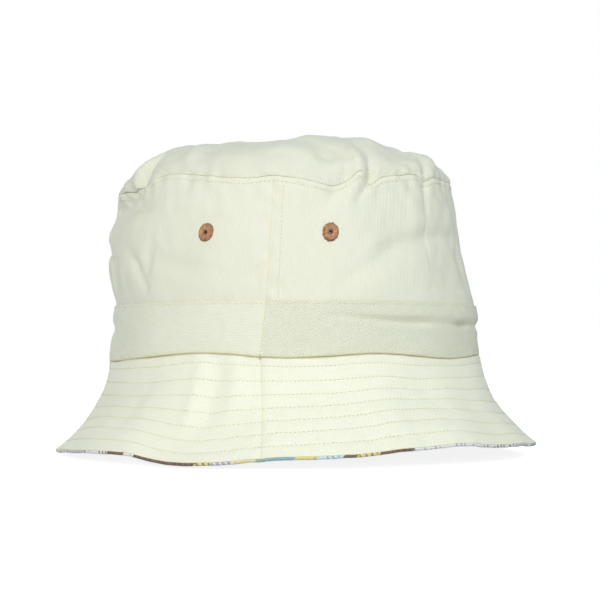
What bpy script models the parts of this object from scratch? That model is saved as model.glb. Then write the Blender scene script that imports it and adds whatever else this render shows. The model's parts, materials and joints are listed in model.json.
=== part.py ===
"""Bucket hat of cotton twill: crown, hat band, stitched brim, printed lining, sweatband and sewn eyelets.

Metres, +Z up. The hat stands on its brim with its origin under the middle of the crown, at floor height.
+X is the front of the hat, so the wearer's right side faces -Y. Every cloth layer is a shell that
follows one meridian, which runs from the middle of the top down to the edge of the brim.
"""

import math

import bmesh
import bpy
from mathutils import Matrix, Vector

# Driving dimensions. A half length is measured from the hat's axis to its front, along X.
WIDTH_RATIO = 0.925  # width of every oval over its length
SEAM_HEIGHT = 0.0512  # crown to brim seam
SEAM_HALF_LENGTH = 0.0972
BAND_TOP = 0.0785
TIP_SEAM_HEIGHT = 0.1423
TIP_SEAM_HALF_LENGTH = 0.0882
CROWN_TOP = 0.1700
SIDE_TAPER = 0.0040  # even lean of the crown's side
EYELET_HEIGHT = 0.1116
BRIM_EDGE_HALF_LENGTH = 0.1284
BRIM_EDGE_MEAN_RISE = 0.0043
RIM_DROP = 0.0024  # from the brim's upper face at its edge down to the underbrim's lower corner
FLAT_DEPTH = 0.0006  # how far the three lowest points of the rim are pressed flat

# Cloth, measured in from the outer face, and the gaps that keep neighbouring pieces apart.
GAP = 0.0003
CLOTH = 0.0008
BAND_FACE = GAP + CLOTH
INTERLINING = (-0.0014, -0.0019)
UNDERBRIM = (-0.0022, -0.0028)
ROLLED_EDGE_FACE = -0.0006
LINING = (-0.0013, -0.0018)
SWEATBAND = (-0.0021, -0.0029)
SWEATBAND_TOP = 0.0790
THREAD_WIDTH = 0.0006
THREAD_HEIGHT = 0.0004

# The brim's rows of stitching, measured down the slope from the crown seam.
ROW_COUNT = 7
FIRST_ROW = 0.0047
ROW_SPACING = 0.0076
ROLLED_EDGE = 0.0025  # how much of the underbrim shows past the outer cloth

# The front of the brim turns up about a straight fold.
FOLD_X = 0.1135
HINGE_CLEARANCE = 0.0010

SEGMENTS = 48
STEP = 2 * math.pi / SEGMENTS
QUARTER = SEGMENTS // 4
FRONT = range(-QUARTER, QUARTER + 1)
BACK = range(QUARTER, 3 * QUARTER + 1)
RING = range(SEGMENTS)
SEAM_PHIS = {"right": -math.pi / 2, "left": math.pi / 2}
HALF_GAP = GAP / 2

# Where the layers of the crown have their points, from the tip seam down and from the middle out.
TIP_RINGS = 5
SIDE_SHARES = (0.0017, 0.045, 0.18, 0.4, 0.65, 1.0)
TIP_SHARES = tuple(math.sin(math.pi / 2 * k / TIP_RINGS) for k in range(TIP_RINGS)) + (0.9999,)

# The brim touches the floor at three dips. Each is an angle from the front and a width.
DIPS = (
    (math.radians(45), math.radians(22)),
    (math.radians(142.5), math.radians(22)),
    (math.radians(255), math.radians(12)),
)

COLOURS = {
    "cream_twill": (0.84, 0.85, 0.70, 1),
    "cream_thread": (0.78, 0.74, 0.50, 1),
    "tan_thread": (0.46, 0.24, 0.12, 1),
    "printed_lining": (0.72, 0.66, 0.50, 1),
    "white_interlining": (0.86, 0.86, 0.84, 1),
    "label_satin": (0.90, 0.90, 0.88, 1),
}


# ---------------------------------------------------------------- outline


def side_outline(phi, share):
    """The crown's side at an angle: share 0 is the tip seam and 1 is the brim seam."""
    top = tip_seam_height(phi)
    height = top + (SEAM_HEIGHT - top) * share
    rise = (height - SEAM_HEIGHT) / (TIP_SEAM_HEIGHT - SEAM_HEIGHT)
    shoulder = SEAM_HALF_LENGTH - TIP_SEAM_HALF_LENGTH - SIDE_TAPER
    return SEAM_HALF_LENGTH - SIDE_TAPER * rise - shoulder * rise**4, height


def tip_seam_height(phi):
    """The seam round the top sits a little higher at the front and on the left."""
    return TIP_SEAM_HEIGHT + 0.0025 * math.cos(phi) + 0.0018 * math.sin(phi)


def tip_outline(phi, share):
    """The puffed top at an angle: share 0 is its middle and 1 is its seam."""
    seam_half_length, seam_height = side_outline(phi, 0)
    puff = (1 - share**3) ** (1 / 1.8)
    return seam_half_length * share, seam_height + (CROWN_TOP - seam_height) * puff


def edge_rise(phi):
    """Height of the rim over the floor: higher in front, with the three dips it stands on."""
    rise = BRIM_EDGE_MEAN_RISE + 0.0022 * math.cos(phi) + 0.0005 * math.cos(2 * phi)
    for angle, width in DIPS:
        away = math.remainder(phi - angle, 2 * math.pi)
        rise *= 1 - math.exp(-((away / width) ** 2))
    return rise - FLAT_DEPTH


def brim_outline(phi, share):
    """The brim at an angle, as a Bezier curve that leaves the crown steeply and flares."""
    rise = edge_rise(phi) + RIM_DROP
    points = (
        (SEAM_HALF_LENGTH + 0.0003, SEAM_HEIGHT - GAP),
        (0.1010, 0.0340),
        (0.1090, 0.0160 + 0.4 * (rise - BRIM_EDGE_MEAN_RISE)),
        (BRIM_EDGE_HALF_LENGTH, rise),
    )
    blends = [math.comb(3, k) * share**k * (1 - share) ** (3 - k) for k in range(4)]
    return tuple(sum(b * p[axis] for b, p in zip(blends, points)) for axis in range(2))


def brim_share(distance):
    """The brim outline's share that lies this far down the slope, at the side of the hat."""
    steps = 400
    walked = 0.0
    last = Vector(brim_outline(0, 0))
    for k in range(1, steps + 1):
        here = Vector(brim_outline(0, k / steps))
        walked += (here - last).length
        if walked >= distance:
            return k / steps
        last = here
    return 1.0


def brim_length():
    """Length of the brim's slope."""
    steps = 400
    points = [Vector(brim_outline(0, k / steps)) for k in range(steps + 1)]
    return sum((b - a).length for a, b in zip(points, points[1:]))


def surface(outline, phi, share, offset):
    """A point of the hat, offset outwards from the outer face."""
    reach = 0.001
    before = Vector(outline(phi, max(share - reach, 0)))
    after = Vector(outline(phi, min(share + reach, 1)))
    along = (after - before).normalized()
    half_length, height = outline(phi, share)
    out, up = -along.y * offset, along.x * offset
    x = (half_length + out) * math.cos(phi)
    y = (half_length * WIDTH_RATIO + out) * math.sin(phi)
    return Vector((x, y, height + up))


# ---------------------------------------------------------------- mesh helpers


def clear_scene():
    for obj in list(bpy.data.objects):
        bpy.data.objects.remove(obj)


def material_for(name, colour):
    material = bpy.data.materials.new(name)
    material.use_nodes = True
    shader = material.node_tree.nodes["Principled BSDF"]
    shader.inputs["Base Color"].default_value = COLOURS[colour]
    shader.inputs["Roughness"].default_value = 0.85
    shader.inputs["Metallic"].default_value = 0.0
    return material


def make_object(name, bm, colour):
    """One closed, outward-facing, smooth-shaded node."""
    bmesh.ops.remove_doubles(bm, verts=bm.verts, dist=1e-7)
    bmesh.ops.recalc_face_normals(bm, faces=bm.faces)
    mesh = bpy.data.meshes.new(name)
    bm.to_mesh(mesh)
    bm.free()
    mesh.shade_smooth()
    mesh.set_sharp_from_angle(angle=math.radians(40))
    mesh.materials.append(material_for(name, colour))
    obj = bpy.data.objects.new(name, mesh)
    bpy.context.scene.collection.objects.link(obj)
    return obj


def sweep(name, sections, closed, colour):
    """Joins equal closed sections, each a list of points, into one solid, with capped ends unless it closes."""
    bm = bmesh.new()
    rows = [[bm.verts.new(point) for point in section] for section in sections]
    count = len(rows[0])
    pairs = list(zip(rows, rows[1:]))
    if closed:
        pairs.append((rows[-1], rows[0]))
    for a, b in pairs:
        for i in range(count):
            j = (i + 1) % count
            bm.faces.new((a[i], a[j], b[j], b[i]))
    if not closed:
        for row in (rows[0], rows[-1]):
            cap(bm, row)
    return make_object(name, bm, colour)


def cap(bm, row):
    """Fills a section with a strip of quads between its outer and inner points."""
    count = len(row)
    for i in range(count // 2):
        corners = (row[i], row[i + 1], row[count - 2 - i], row[count - 1 - i])
        distinct = list(dict.fromkeys(corners))
        if len(distinct) > 2:
            bm.faces.new(distinct)


def shell(name, outline, steps, shares, offsets, colour):
    """A layer of cloth between two offsets. Its sections follow the shares at each step round the hat."""
    outer, inner = offsets
    sections = []
    for step in steps:
        phi = step * STEP
        face = [surface(outline, phi, share, outer) for share in shares]
        back = [surface(outline, phi, share, inner) for share in reversed(shares)]
        sections.append(face + back)
    return sweep(name, sections, steps == RING, colour)


def seam_gap(steps):
    """Moves a half layer's end angles in by half a gap, so that the halves stay apart at the side seams."""
    turn = HALF_GAP / (SEAM_HALF_LENGTH * STEP)
    return [steps[0] + turn, *list(steps)[1:-1], steps[-1] - turn]


def thread(name, outline, steps, share, offset):
    """A row of stitches as one three-sided thread lying on the cloth at an offset."""
    half = THREAD_WIDTH / 2 / brim_length()
    sections = []
    for step in steps:
        phi = step * STEP
        sections.append(
            [
                surface(outline, phi, share - half, offset),
                surface(outline, phi, share, offset + THREAD_HEIGHT),
                surface(outline, phi, share + half, offset),
            ]
        )
    return sweep(name, sections, steps == RING, "cream_thread")


def box(name, low, high):
    bm = bmesh.new()
    bmesh.ops.create_cube(bm, size=1)
    size = Vector(high) - Vector(low)
    middle = (Vector(high) + Vector(low)) / 2
    bmesh.ops.transform(bm, matrix=Matrix.Translation(middle) @ Matrix.Diagonal(size.to_4d()), verts=bm.verts)
    mesh = bpy.data.meshes.new(name)
    bm.to_mesh(mesh)
    bm.free()
    obj = bpy.data.objects.new(name, mesh)
    bpy.context.scene.collection.objects.link(obj)
    return obj


def as_cutter(obj):
    obj.hide_render = True
    obj.display_type = "WIRE"
    return obj


def cut(obj, cutter, operation="DIFFERENCE"):
    modifier = obj.modifiers.new(cutter.name, "BOOLEAN")
    modifier.object = cutter
    modifier.operation = operation
    modifier.solver = "EXACT"


def put_on_axis(obj, parent):
    """Gives a moving piece its origin on its joint's axis, under the axis's empty."""
    obj.data.transform(Matrix.Translation(-parent.location))
    obj.parent = parent


def axis_empty(name, place):
    empty = bpy.data.objects.new(name, None)
    empty.location = place
    bpy.context.scene.collection.objects.link(empty)
    return empty


# ---------------------------------------------------------------- crown


def crown_side():
    """Two half panels that meet at the side seams, each pierced for two eyelets."""
    shares = SIDE_SHARES
    front = shell("crown_side_front", side_outline, seam_gap(FRONT), shares, (0, -CLOTH), "cream_twill")
    back = shell("crown_side_back", side_outline, seam_gap(BACK), shares, (0, -CLOTH), "cream_twill")
    return front, back


def crown_tip():
    """The oval top panel, puffed up."""
    return shell("crown_tip", tip_outline, RING, TIP_SHARES, (0, -CLOTH), "cream_twill")


def height_outline(phi, height):
    """The crown's side by height instead of by share."""
    top = tip_seam_height(phi)
    return side_outline(phi, (top - height) / (top - SEAM_HEIGHT))


def level_shell(name, steps, heights, offsets, colour):
    """A layer on the crown's side between two heights that stay level, such as the hat band."""
    top = max(heights)
    drop = top - min(heights)

    def level_outline(phi, share):
        return height_outline(phi, top - drop * share)

    shares = [(top - height) / drop for height in heights]
    return shell(name, level_outline, steps, shares, offsets, colour)


def hat_band():
    """A strip of the same cloth over the crown's lower edge, in two halves."""
    heights = [BAND_TOP, (BAND_TOP + SEAM_HEIGHT) / 2, SEAM_HEIGHT + GAP]
    offsets = (BAND_FACE, GAP)
    level_shell("hat_band_front", seam_gap(FRONT), heights, offsets, "cream_twill")
    level_shell("hat_band_back", seam_gap(BACK), heights, offsets, "cream_twill")


def band_stitches():
    """A row of stitches just inside each folded edge of the band."""
    inset = 0.0015

    def level_row(name, height):
        def outline(phi, share):
            return height_outline(phi, height + (0.5 - share) * brim_length())

        thread(name, outline, RING, 0.5, BAND_FACE + GAP)

    level_row("band_top_stitches", BAND_TOP - inset)
    level_row("band_bottom_stitches", SEAM_HEIGHT + inset)


def tip_topstitch():
    """A row of stitches on the side panel, just under the tip seam."""
    drop = 0.0040

    def outline(phi, share):
        return height_outline(phi, tip_seam_height(phi) - drop + (0.5 - share) * brim_length())

    thread("tip_topstitch", outline, RING, 0.5, GAP)


def side_seam_topstitch():
    """A short row of stitches beside each side seam, from the band up to the tip's topstitch."""
    beside = 0.0055
    half = THREAD_WIDTH / 2
    top = TIP_SEAM_HEIGHT - 0.0100
    bottom = BAND_TOP + 0.0030
    rows = 5
    for side, seam in SEAM_PHIS.items():
        middle = seam + beside / SEAM_HALF_LENGTH
        turn = half / SEAM_HALF_LENGTH
        sections = []
        for k in range(rows):
            height = top + (bottom - top) * k / (rows - 1)
            section = []
            for angle, lift in ((middle - turn, 0), (middle, THREAD_HEIGHT), (middle + turn, 0)):
                section.append(surface(height_outline_at(height), angle, 0.5, GAP + lift))
            sections.append(section)
        sweep(f"side_seam_topstitch_{side}", sections, False, "cream_thread")


def height_outline_at(height):
    """An outline whose middle share is at this height, for single points of the crown's side."""

    def outline(phi, share):
        return height_outline(phi, height + (0.5 - share) * brim_length())

    return outline


def eyelets(panels):
    """Four sewn eyelets, two on each side of the hat, each over a hole through its panel."""
    outer_radius = 0.0043
    hole_radius = 0.00125
    stand_off = 0.0005
    thickness = 0.0007
    turn = 2.5 * STEP  # from the side seam, the middle of a facet
    front, back = panels
    for side, seam in SEAM_PHIS.items():
        towards_front = 1 if side == "right" else -1
        for place, panel, sign in (("front", front, towards_front), ("back", back, -towards_front)):
            phi = seam + sign * turn
            outline = height_outline_at(EYELET_HEIGHT)
            middle = surface(outline, phi, 0.5, 0)
            outwards = (surface(outline, phi, 0.5, 0.01) - middle).normalized()
            turned = Vector((0, 0, 1)).rotation_difference(outwards).to_matrix().to_4x4()
            frame = Matrix.Translation(middle + outwards * stand_off) @ turned
            eyelet_ring(f"eyelet_{place}_{side}", frame, outer_radius, hole_radius, thickness)
            hole = cylinder(f"cutter_eyelet_{place}_{side}", frame, hole_radius + GAP, 0.01)
            cut(panel, as_cutter(hole))


def eyelet_ring(name, frame, outer_radius, hole_radius, thickness):
    """A low ring of thread with a rounded outer shoulder."""
    sides = 16
    profile = (
        (hole_radius, 0),
        (outer_radius, 0),
        (outer_radius - 0.0006, thickness * 0.8),
        ((outer_radius + hole_radius) / 2, thickness),
        (hole_radius + 0.0003, thickness * 0.8),
    )
    sections = []
    for k in range(sides):
        angle = 2 * math.pi * k / sides
        sections.append(
            [frame @ Vector((r * math.cos(angle), r * math.sin(angle), z)) for r, z in profile]
        )
    return sweep(name, sections, True, "tan_thread")


def cylinder(name, frame, radius, length):
    bm = bmesh.new()
    bmesh.ops.create_cone(bm, cap_ends=True, segments=12, radius1=radius, radius2=radius, depth=length)
    bmesh.ops.transform(bm, matrix=frame, verts=bm.verts)
    mesh = bpy.data.meshes.new(name)
    bm.to_mesh(mesh)
    bm.free()
    obj = bpy.data.objects.new(name, mesh)
    bpy.context.scene.collection.objects.link(obj)
    return obj


# ---------------------------------------------------------------- lining


def crown_lining():
    """The printed lining inside the crown: two side panels and an oval top."""
    shell("lining_side_front", side_outline, seam_gap(FRONT), SIDE_SHARES, LINING, "printed_lining")
    shell("lining_side_back", side_outline, seam_gap(BACK), SIDE_SHARES, LINING, "printed_lining")
    shell("lining_tip", tip_outline, RING, TIP_SHARES, LINING, "printed_lining")


def sweatband():
    heights = [SWEATBAND_TOP, (SWEATBAND_TOP + SEAM_HEIGHT) / 2, SEAM_HEIGHT + GAP]
    level_shell("sweatband", RING, heights, SWEATBAND, "cream_twill")


def care_label():
    """A small blank label that hangs inside the back of the hat from the top of the sweatband."""
    width = 0.0200
    length = 0.0240
    thickness = 0.0004
    top = SWEATBAND_TOP - 0.0020
    face = 0.0914
    axis = axis_empty("care_label_axis", (-face + thickness / 2, 0, top))
    label = box("care_label", (-face, -width / 2, top - length), (-face + thickness, width / 2, top))
    label.data.materials.append(material_for("care_label", "label_satin"))
    put_on_axis(label, axis)


# ---------------------------------------------------------------- brim


def brim_layers():
    """Outer cloth, stiff interlining and printed underbrim, each in two halves that meet at the side seams."""
    length = brim_length()
    rows = [brim_share(FIRST_ROW + k * ROW_SPACING) for k in range(ROW_COUNT)]
    outer_end = brim_share(length - ROLLED_EDGE - GAP)
    outer = [0.0, *rows, outer_end]
    inner = [0.0, 0.22, 0.45, 0.7, 0.9]
    layers = {}
    for half, steps in (("front", seam_gap(FRONT)), ("back", seam_gap(BACK))):
        layers[f"brim_outer_{half}"] = shell(
            f"brim_outer_{half}", brim_outline, steps, outer, (0, -CLOTH), "cream_twill"
        )
        layers[f"brim_interlining_{half}"] = shell(
            f"brim_interlining_{half}", brim_outline, steps, inner, INTERLINING, "white_interlining"
        )
        layers[f"underbrim_{half}"] = underbrim(f"underbrim_{half}", steps, inner, outer_end)
    return layers


def underbrim(name, steps, shares, outer_end):
    """The printed underside, whose rolled edge comes out past the outer cloth."""
    length = brim_length()
    face, back = UNDERBRIM
    roll = [
        (brim_share(length * 0.965 - ROLLED_EDGE), face),
        (outer_end + (1 - outer_end) * 0.35, ROLLED_EDGE_FACE),
        (1.0, ROLLED_EDGE_FACE - 0.0003),
    ]
    outer_points = [(share, face) for share in shares] + roll
    sections = []
    for step in steps:
        phi = step * STEP
        outside = [surface(brim_outline, phi, share, offset) for share, offset in outer_points]
        inside = [surface(brim_outline, phi, share, back) for share, _ in reversed(outer_points)]
        sections.append(outside + inside)
    return sweep(name, sections, False, "printed_lining")


def brim_stitches():
    """The concentric rows of stitching, one thread each."""
    rows = {}
    for k in range(ROW_COUNT):
        share = brim_share(FIRST_ROW + k * ROW_SPACING)
        name = f"brim_stitch_row_{k + 1}"
        rows[name] = thread(name, brim_outline, RING, share, GAP)
    return rows


def copy_of(obj, name, colour):
    twin = obj.copy()
    twin.data = obj.data.copy()
    twin.name = name
    twin.data.materials.clear()
    twin.data.materials.append(material_for(name, colour))
    bpy.context.scene.collection.objects.link(twin)
    return twin


def fold_height():
    """Height of the brim's upper face where the fold crosses the middle of the front."""
    share = next(k / 400 for k in range(401) if brim_outline(0, k / 400)[0] >= FOLD_X)
    return brim_outline(0, share)[1]


def turn_up_lip(layers, rows):
    """Splits the front of the brim at the fold. The part beyond it turns up about the fold."""
    far = 0.2
    keep = as_cutter(box("cutter_beyond_fold", (FOLD_X - HALF_GAP, -far, -far), (far, far, far)))
    take = as_cutter(box("cutter_lip", (FOLD_X + HALF_GAP, -far, -far), (far, far, far)))
    axis = axis_empty("brim_lip_axis", (FOLD_X, 0, fold_height() + HINGE_CLEARANCE))
    crossing = ROW_COUNT - 1, ROW_COUNT
    split = {
        "brim_lip_outer": (layers["brim_outer_front"], "cream_twill"),
        "brim_lip_interlining": (layers["brim_interlining_front"], "white_interlining"),
        "brim_lip_underbrim": (layers["underbrim_front"], "printed_lining"),
    }
    for number in crossing:
        split[f"brim_lip_stitch_row_{number}"] = (rows[f"brim_stitch_row_{number}"], "cream_thread")
    for name, (whole, colour) in split.items():
        lip = copy_of(whole, name, colour)
        cut(lip, take, "INTERSECT")
        cut(whole, keep)
        put_on_axis(lip, axis)


def press_flat(layers):
    """Presses the rim's three lowest points flat, where the hat stands."""
    far = 0.2
    floor = as_cutter(box("cutter_floor", (-far, -far, -0.01), (far, far, 0)))
    for half in ("front", "back"):
        cut(layers[f"underbrim_{half}"], floor)


def main():
    clear_scene()
    panels = crown_side()
    crown_tip()
    hat_band()
    band_stitches()
    tip_topstitch()
    side_seam_topstitch()
    eyelets(panels)
    crown_lining()
    sweatband()
    care_label()
    layers = brim_layers()
    rows = brim_stitches()
    turn_up_lip(layers, rows)
    press_flat(layers)


main()
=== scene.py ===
"""The looks of the bucket hat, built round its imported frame.

Metres, +Z up, with +X at the front of the hat, so the wearer's right side faces -Y and the camera.
Every cloth layer is a fine closed sheet that follows the same outlines as the frame's solids. Folds, seams,
puckers and stitch valleys push the sheets in and out along the hat's own normal. Layers that lie together
share their folds.
"""

import json
import math

import bmesh
import bpy
import numpy as np
from mathutils import Matrix, Vector


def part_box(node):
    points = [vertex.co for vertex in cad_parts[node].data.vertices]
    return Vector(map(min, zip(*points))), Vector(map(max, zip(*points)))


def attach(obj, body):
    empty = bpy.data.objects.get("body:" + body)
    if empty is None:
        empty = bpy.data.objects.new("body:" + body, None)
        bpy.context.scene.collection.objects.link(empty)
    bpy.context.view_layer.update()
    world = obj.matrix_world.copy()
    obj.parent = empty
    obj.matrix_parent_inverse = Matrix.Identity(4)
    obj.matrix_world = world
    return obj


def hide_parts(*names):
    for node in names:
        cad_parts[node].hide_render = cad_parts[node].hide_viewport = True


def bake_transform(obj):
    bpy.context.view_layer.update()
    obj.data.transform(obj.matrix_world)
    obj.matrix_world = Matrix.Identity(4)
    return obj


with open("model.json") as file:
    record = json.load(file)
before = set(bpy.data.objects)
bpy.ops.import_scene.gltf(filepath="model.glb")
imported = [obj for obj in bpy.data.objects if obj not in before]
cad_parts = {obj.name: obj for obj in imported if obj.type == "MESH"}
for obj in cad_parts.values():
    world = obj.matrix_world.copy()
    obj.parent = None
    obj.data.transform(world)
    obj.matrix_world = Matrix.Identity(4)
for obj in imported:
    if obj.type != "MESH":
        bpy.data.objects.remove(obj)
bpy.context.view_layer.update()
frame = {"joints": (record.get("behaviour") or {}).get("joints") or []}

SCENE = bpy.context.scene
MM = 0.001
TURN = 2 * math.pi

# The outline, as the CAD model states it. A half length is measured from the hat's axis to its front.
WIDTH_RATIO = 0.925
SEAM_HEIGHT = 0.0512
SEAM_HALF_LENGTH = 0.0972
MEAN_RADIUS = SEAM_HALF_LENGTH * (1 + WIDTH_RATIO) / 2
BAND_TOP = 0.0785
TIP_SEAM_HEIGHT = 0.1423
TIP_SEAM_HALF_LENGTH = 0.0882
CROWN_TOP = 0.17
SIDE_TAPER = 0.004
BRIM_EDGE_HALF_LENGTH = 0.1284
BRIM_EDGE_MEAN_RISE = 0.0043
RIM_DROP = 0.0024
TUCK = 0.0004

# The brim's section leans towards these two points, each a half length and a height.
BRIM_UPPER_GUIDE = (0.101, 0.034)
BRIM_LOWER_GUIDE = (0.109, 0.016)

# How far out and how far up the side and the top both face at the seam between them.
TIP_SEAM_OUT, TIP_SEAM_UP = 0.97, 0.24

# Next to its seam the top is steep: this is how far in it runs for each length along the cloth.
TIP_EDGE_RUN = 0.35

# Cloth layers: how far out from the crown's outer face the middle of each one lies, and half its thickness.
OUTER = (-0.0004, 0.0004)
BAND = (0.0007, 0.0004)
LINING = (-0.00155, 0.00025)
SWEATBAND = (-0.0025, 0.0004)
INTERLINING = (-0.00165, 0.00025)
UNDERBRIM = (-0.0025, 0.0003)
SWEATBAND_TOP = 0.079
SWEATBAND_GAP = 0.0004
LABEL_HALF_THICKNESS = 0.00014

# Stitching.
ROW_COUNT = 7
FIRST_ROW = 0.0047
ROW_SPACING = 0.0076
STITCH_PITCH = 0.0021
STITCH_LENGTH = 0.0014
THREAD_RADIUS = 0.0002
SUNK = 0.00016
BAND_STITCH_INSET = 0.0015
TIP_STITCH_DROP = 0.0026
SIDE_STITCH_BESIDE = 0.0055
SIDE_STITCH_TOP = 0.1345

# The brim's outer cloth stops this far short of the rim, and its printed lining is folded round there.
ROLLED_EDGE = 0.0007

RIGHT_SEAM = -math.pi / 2
LEFT_SEAM = math.pi / 2
HALVES = {"front": RIGHT_SEAM, "back": LEFT_SEAM}
EYELET_TURN = math.radians(18.75)
EYELET_HEIGHT = 0.1116
EYELET_CUT = 0.0021
EYELET_THREAD_LENGTH = 0.0062
THREADS_PER_EYELET = 46

# How finely the cloth is meshed.
COLUMN_STEP = 0.0013
ROW_STEP = 0.0011
BRIM_COLUMN_STEP = 0.0014
BRIM_ROW_STEP = 0.00095
BRIM_MEAN_RADIUS = 0.115 * (1 + WIDTH_RATIO) / 2
BAND_ROW_STEP = 0.0009
INNER_STEP = 0.002
END_ROUNDING = 0.0008
THIN_END_ROUNDING = 0.0006

# The front of the brim bends between these lengths from the hat's axis when it is turned up.
TURN_UP_START = 0.1008
TURN_UP_END = 0.124

# The side seams wander: a height, and how far they lie turned round the hat there, in degrees.
JOINT_TURNS = ((0.004, 1.2), (SEAM_HEIGHT, -1.8), (BAND_TOP, 0), (TIP_SEAM_HEIGHT, 1.5))

# The brim touches the floor at three dips. Each is an angle from the front and a width, in degrees.
DIPS = ((45, 22), (142.5, 22), (255, 12))


# ---- Shape of the folds
# A fold is a height and a width in millimetres, then stations along its line. A negative height is a valley.
# A station is an angle from the front in degrees, a level and a strength in tenths. The level is a height in
# millimetres on the crown's side, a percentage of the way from the middle to the seam on the top, or
# millimetres down the slope on the brim.

SIDE_FOLDS = (
    # Back right shoulder: a ridge over a deep hollow, then the hollow's lower lip.
    (2.6, 4.6, (-143, 143, 9), (-147.5, 139, 10), (-154.5, 135.8, 10), (-165, 132.5, 7)),
    (-3.6, 3.4, (-138, 142, 7), (-140.4, 134.6, 10), (-148.3, 130.8, 10), (-160, 127.5, 7)),
    (-2.8, 5.5, (-131, 128, 3), (-139, 127.5, 10), (-149, 124, 10), (-162, 119.5, 5)),
    (1.6, 7, (-140, 116, 7), (-155, 113, 10), (-170, 116, 10)),
    # Back right side: upright creases above the band.
    (-3, 3, (-181, 110.5, 9), (-171, 109.5, 10), (-163, 106, 10), (-160, 98, 8), (-158, 82, 4)),
    (1.8, 6, (-178, 100, 10), (-168, 98, 9), (-166, 86, 4)),
    (-2.3, 3.4, (-140, 103, 4), (-138, 99, 10), (-132.5, 87, 6)),
    (1.4, 4.6, (-147, 102, 8), (-148, 90, 8)),
    (-1.8, 3.6, (-129.5, 107, 6), (-131.5, 95, 10)),
    (-1.3, 5, (-125, 98.5, 8), (-117, 95.5, 10), (-108, 92.5, 4)),
    # Right side, near the front: the sharp crease across the top's seam, and the soft valleys beside it.
    (-2, 2, (-55.8, 144, 10), (-56.5, 138, 10), (-59, 134, 9), (-62, 128, 4)),
    (1.3, 4, (-61, 142, 10), (-63, 136, 6)),
    (-1.7, 5, (-66.5, 140, 10), (-70, 129, 9), (-78, 121.5, 3)),
    (1, 7, (-74, 136, 8), (-84, 130, 6)),
    (-2, 2.4, (-30.5, 144, 10), (-32, 135, 8), (-32.5, 126, 3)),
    (-0.45, 1, (-33, 126, 6), (-33.8, 117, 10), (-34.3, 106, 8), (-35, 96, 3)),
    (0.9, 5, (-38, 136, 8), (-40, 116, 8)),
    (-1.7, 5, (-16, 113, 9), (-34, 112.5, 10), (-49, 106, 10), (-57, 98, 8), (-66, 90, 5)),
    (0.6, 7, (-30, 100, 8), (-44, 95, 10), (-56, 88, 5)),
    (-1.2, 4.5, (-8, 122, 7), (-12, 104, 10), (-9, 90, 5)),
    # Left side and the front and back, which lie more quietly.
    (-1.6, 5, (24, 138, 9), (28, 124, 10), (24, 108, 4)),
    (-1.4, 6, (58, 112, 8), (70, 98, 10), (80, 90, 4)),
    (1.2, 7, (48, 122, 8), (62, 116, 10)),
    (-1.8, 4.5, (112, 140, 10), (116, 128, 8), (110, 116, 4)),
    (-1.3, 5, (132, 104, 8), (138, 90, 10)),
    (1.1, 6, (122, 106, 10), (126, 92, 8)),
    (-1.5, 5.5, (158, 132, 8), (165, 118, 10), (160, 100, 4)),
)

TIP_FOLDS = (
    (2.8, 3.2, (-139, 91, 5), (-139.6, 96.5, 10), (-141, 99.8, 10)),
    (-1.8, 1.6, (-136.5, 90, 5), (-136.4, 96, 10), (-138, 99.8, 10)),
    (-2.4, 6, (-126, 93, 8), (-130, 85, 10), (-140, 70, 4)),
    (-3, 6.5, (-114, 97, 4), (-115, 89, 10), (-122, 72, 8), (-140, 50, 3)),
    (-2.4, 2, (-53, 86, 3), (-55.2, 94, 9), (-55.8, 99.9, 10)),
    (1.6, 4.5, (-60, 90, 6), (-60.5, 97, 10)),
    (-1.8, 3.4, (-66, 86, 5), (-64, 94, 10), (-65, 99.9, 10)),
    (1.2, 7, (-76, 90, 10), (-88, 90, 8)),
    (-2.2, 2.8, (-27, 90, 5), (-30, 98.5, 10)),
    (-2.4, 7, (-74, 78, 5), (-71, 90, 10), (-72, 97, 5)),
    (2.2, 6, (9, 42, 6), (-21, 48, 10), (-47, 74, 8)),
    (-3, 7, (9, 65, 10), (-21, 74, 10), (-35, 88, 8)),
    (2.6, 5.5, (9, 82, 10), (-11, 87, 10), (-22, 94.5, 8)),
    (-1.6, 6, (-90, 5, 8), (-85, 49, 10), (-84, 73.5, 6)),
    (-2.2, 8, (-42, 92, 10), (-34, 80, 7)),
    (-3, 9, (20, 86, 5), (5, 62, 10), (-15, 40, 5)),
    (-2.6, 8, (75, 80, 7), (60, 45, 10), (25, 20, 5)),
    (2, 10, (100, 62, 10), (70, 70, 6)),
    (-2.8, 8, (128, 88, 9), (140, 60, 10), (160, 35, 5)),
    (2, 11, (165, 72, 10), (-165, 70, 7)),
    (-2, 7, (-95, 60, 6), (-60, 50, 10), (-30, 60, 4)),
    (-1.8, 4, (30, 90, 6), (26, 99.5, 10)),
    (-2, 4.5, (113, 88, 6), (111, 99.5, 10)),
)

# Bulges of the top: a height and a reach in millimetres, then an angle and a percentage.
TIP_BULGES = (
    (-1.6, 24, -150, 70),
    (-5, 46, -80, 25),
    (-4.4, 17, -172, 98),
    (-2.6, 20, -8, 86),
)

BAND_FOLDS = (
    (1.3, 3.4, (-56, 73, 2), (-40, 72.6, 7), (-20, 72.2, 10), (8, 72, 9), (26, 73, 2)),
    (-3.1, 1.7, (-73, 71.2, 1), (-66, 70.7, 4), (-56, 69.2, 7), (-44, 68.6, 10), (-20, 67.6, 10),
     (4, 67.2, 10), (24, 68, 3)),
    (-1.4, 3, (-180, 66, 10), (-168, 66, 9), (-154, 68, 3)),
    (0.8, 5, (-176, 73, 10), (-160, 73, 5)),
    (-0.8, 4, (120, 66, 5), (150, 68, 10), (172, 66, 6)),
    (-0.7, 4, (40, 68, 5), (62, 66, 10), (80, 67, 3)),
)

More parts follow.
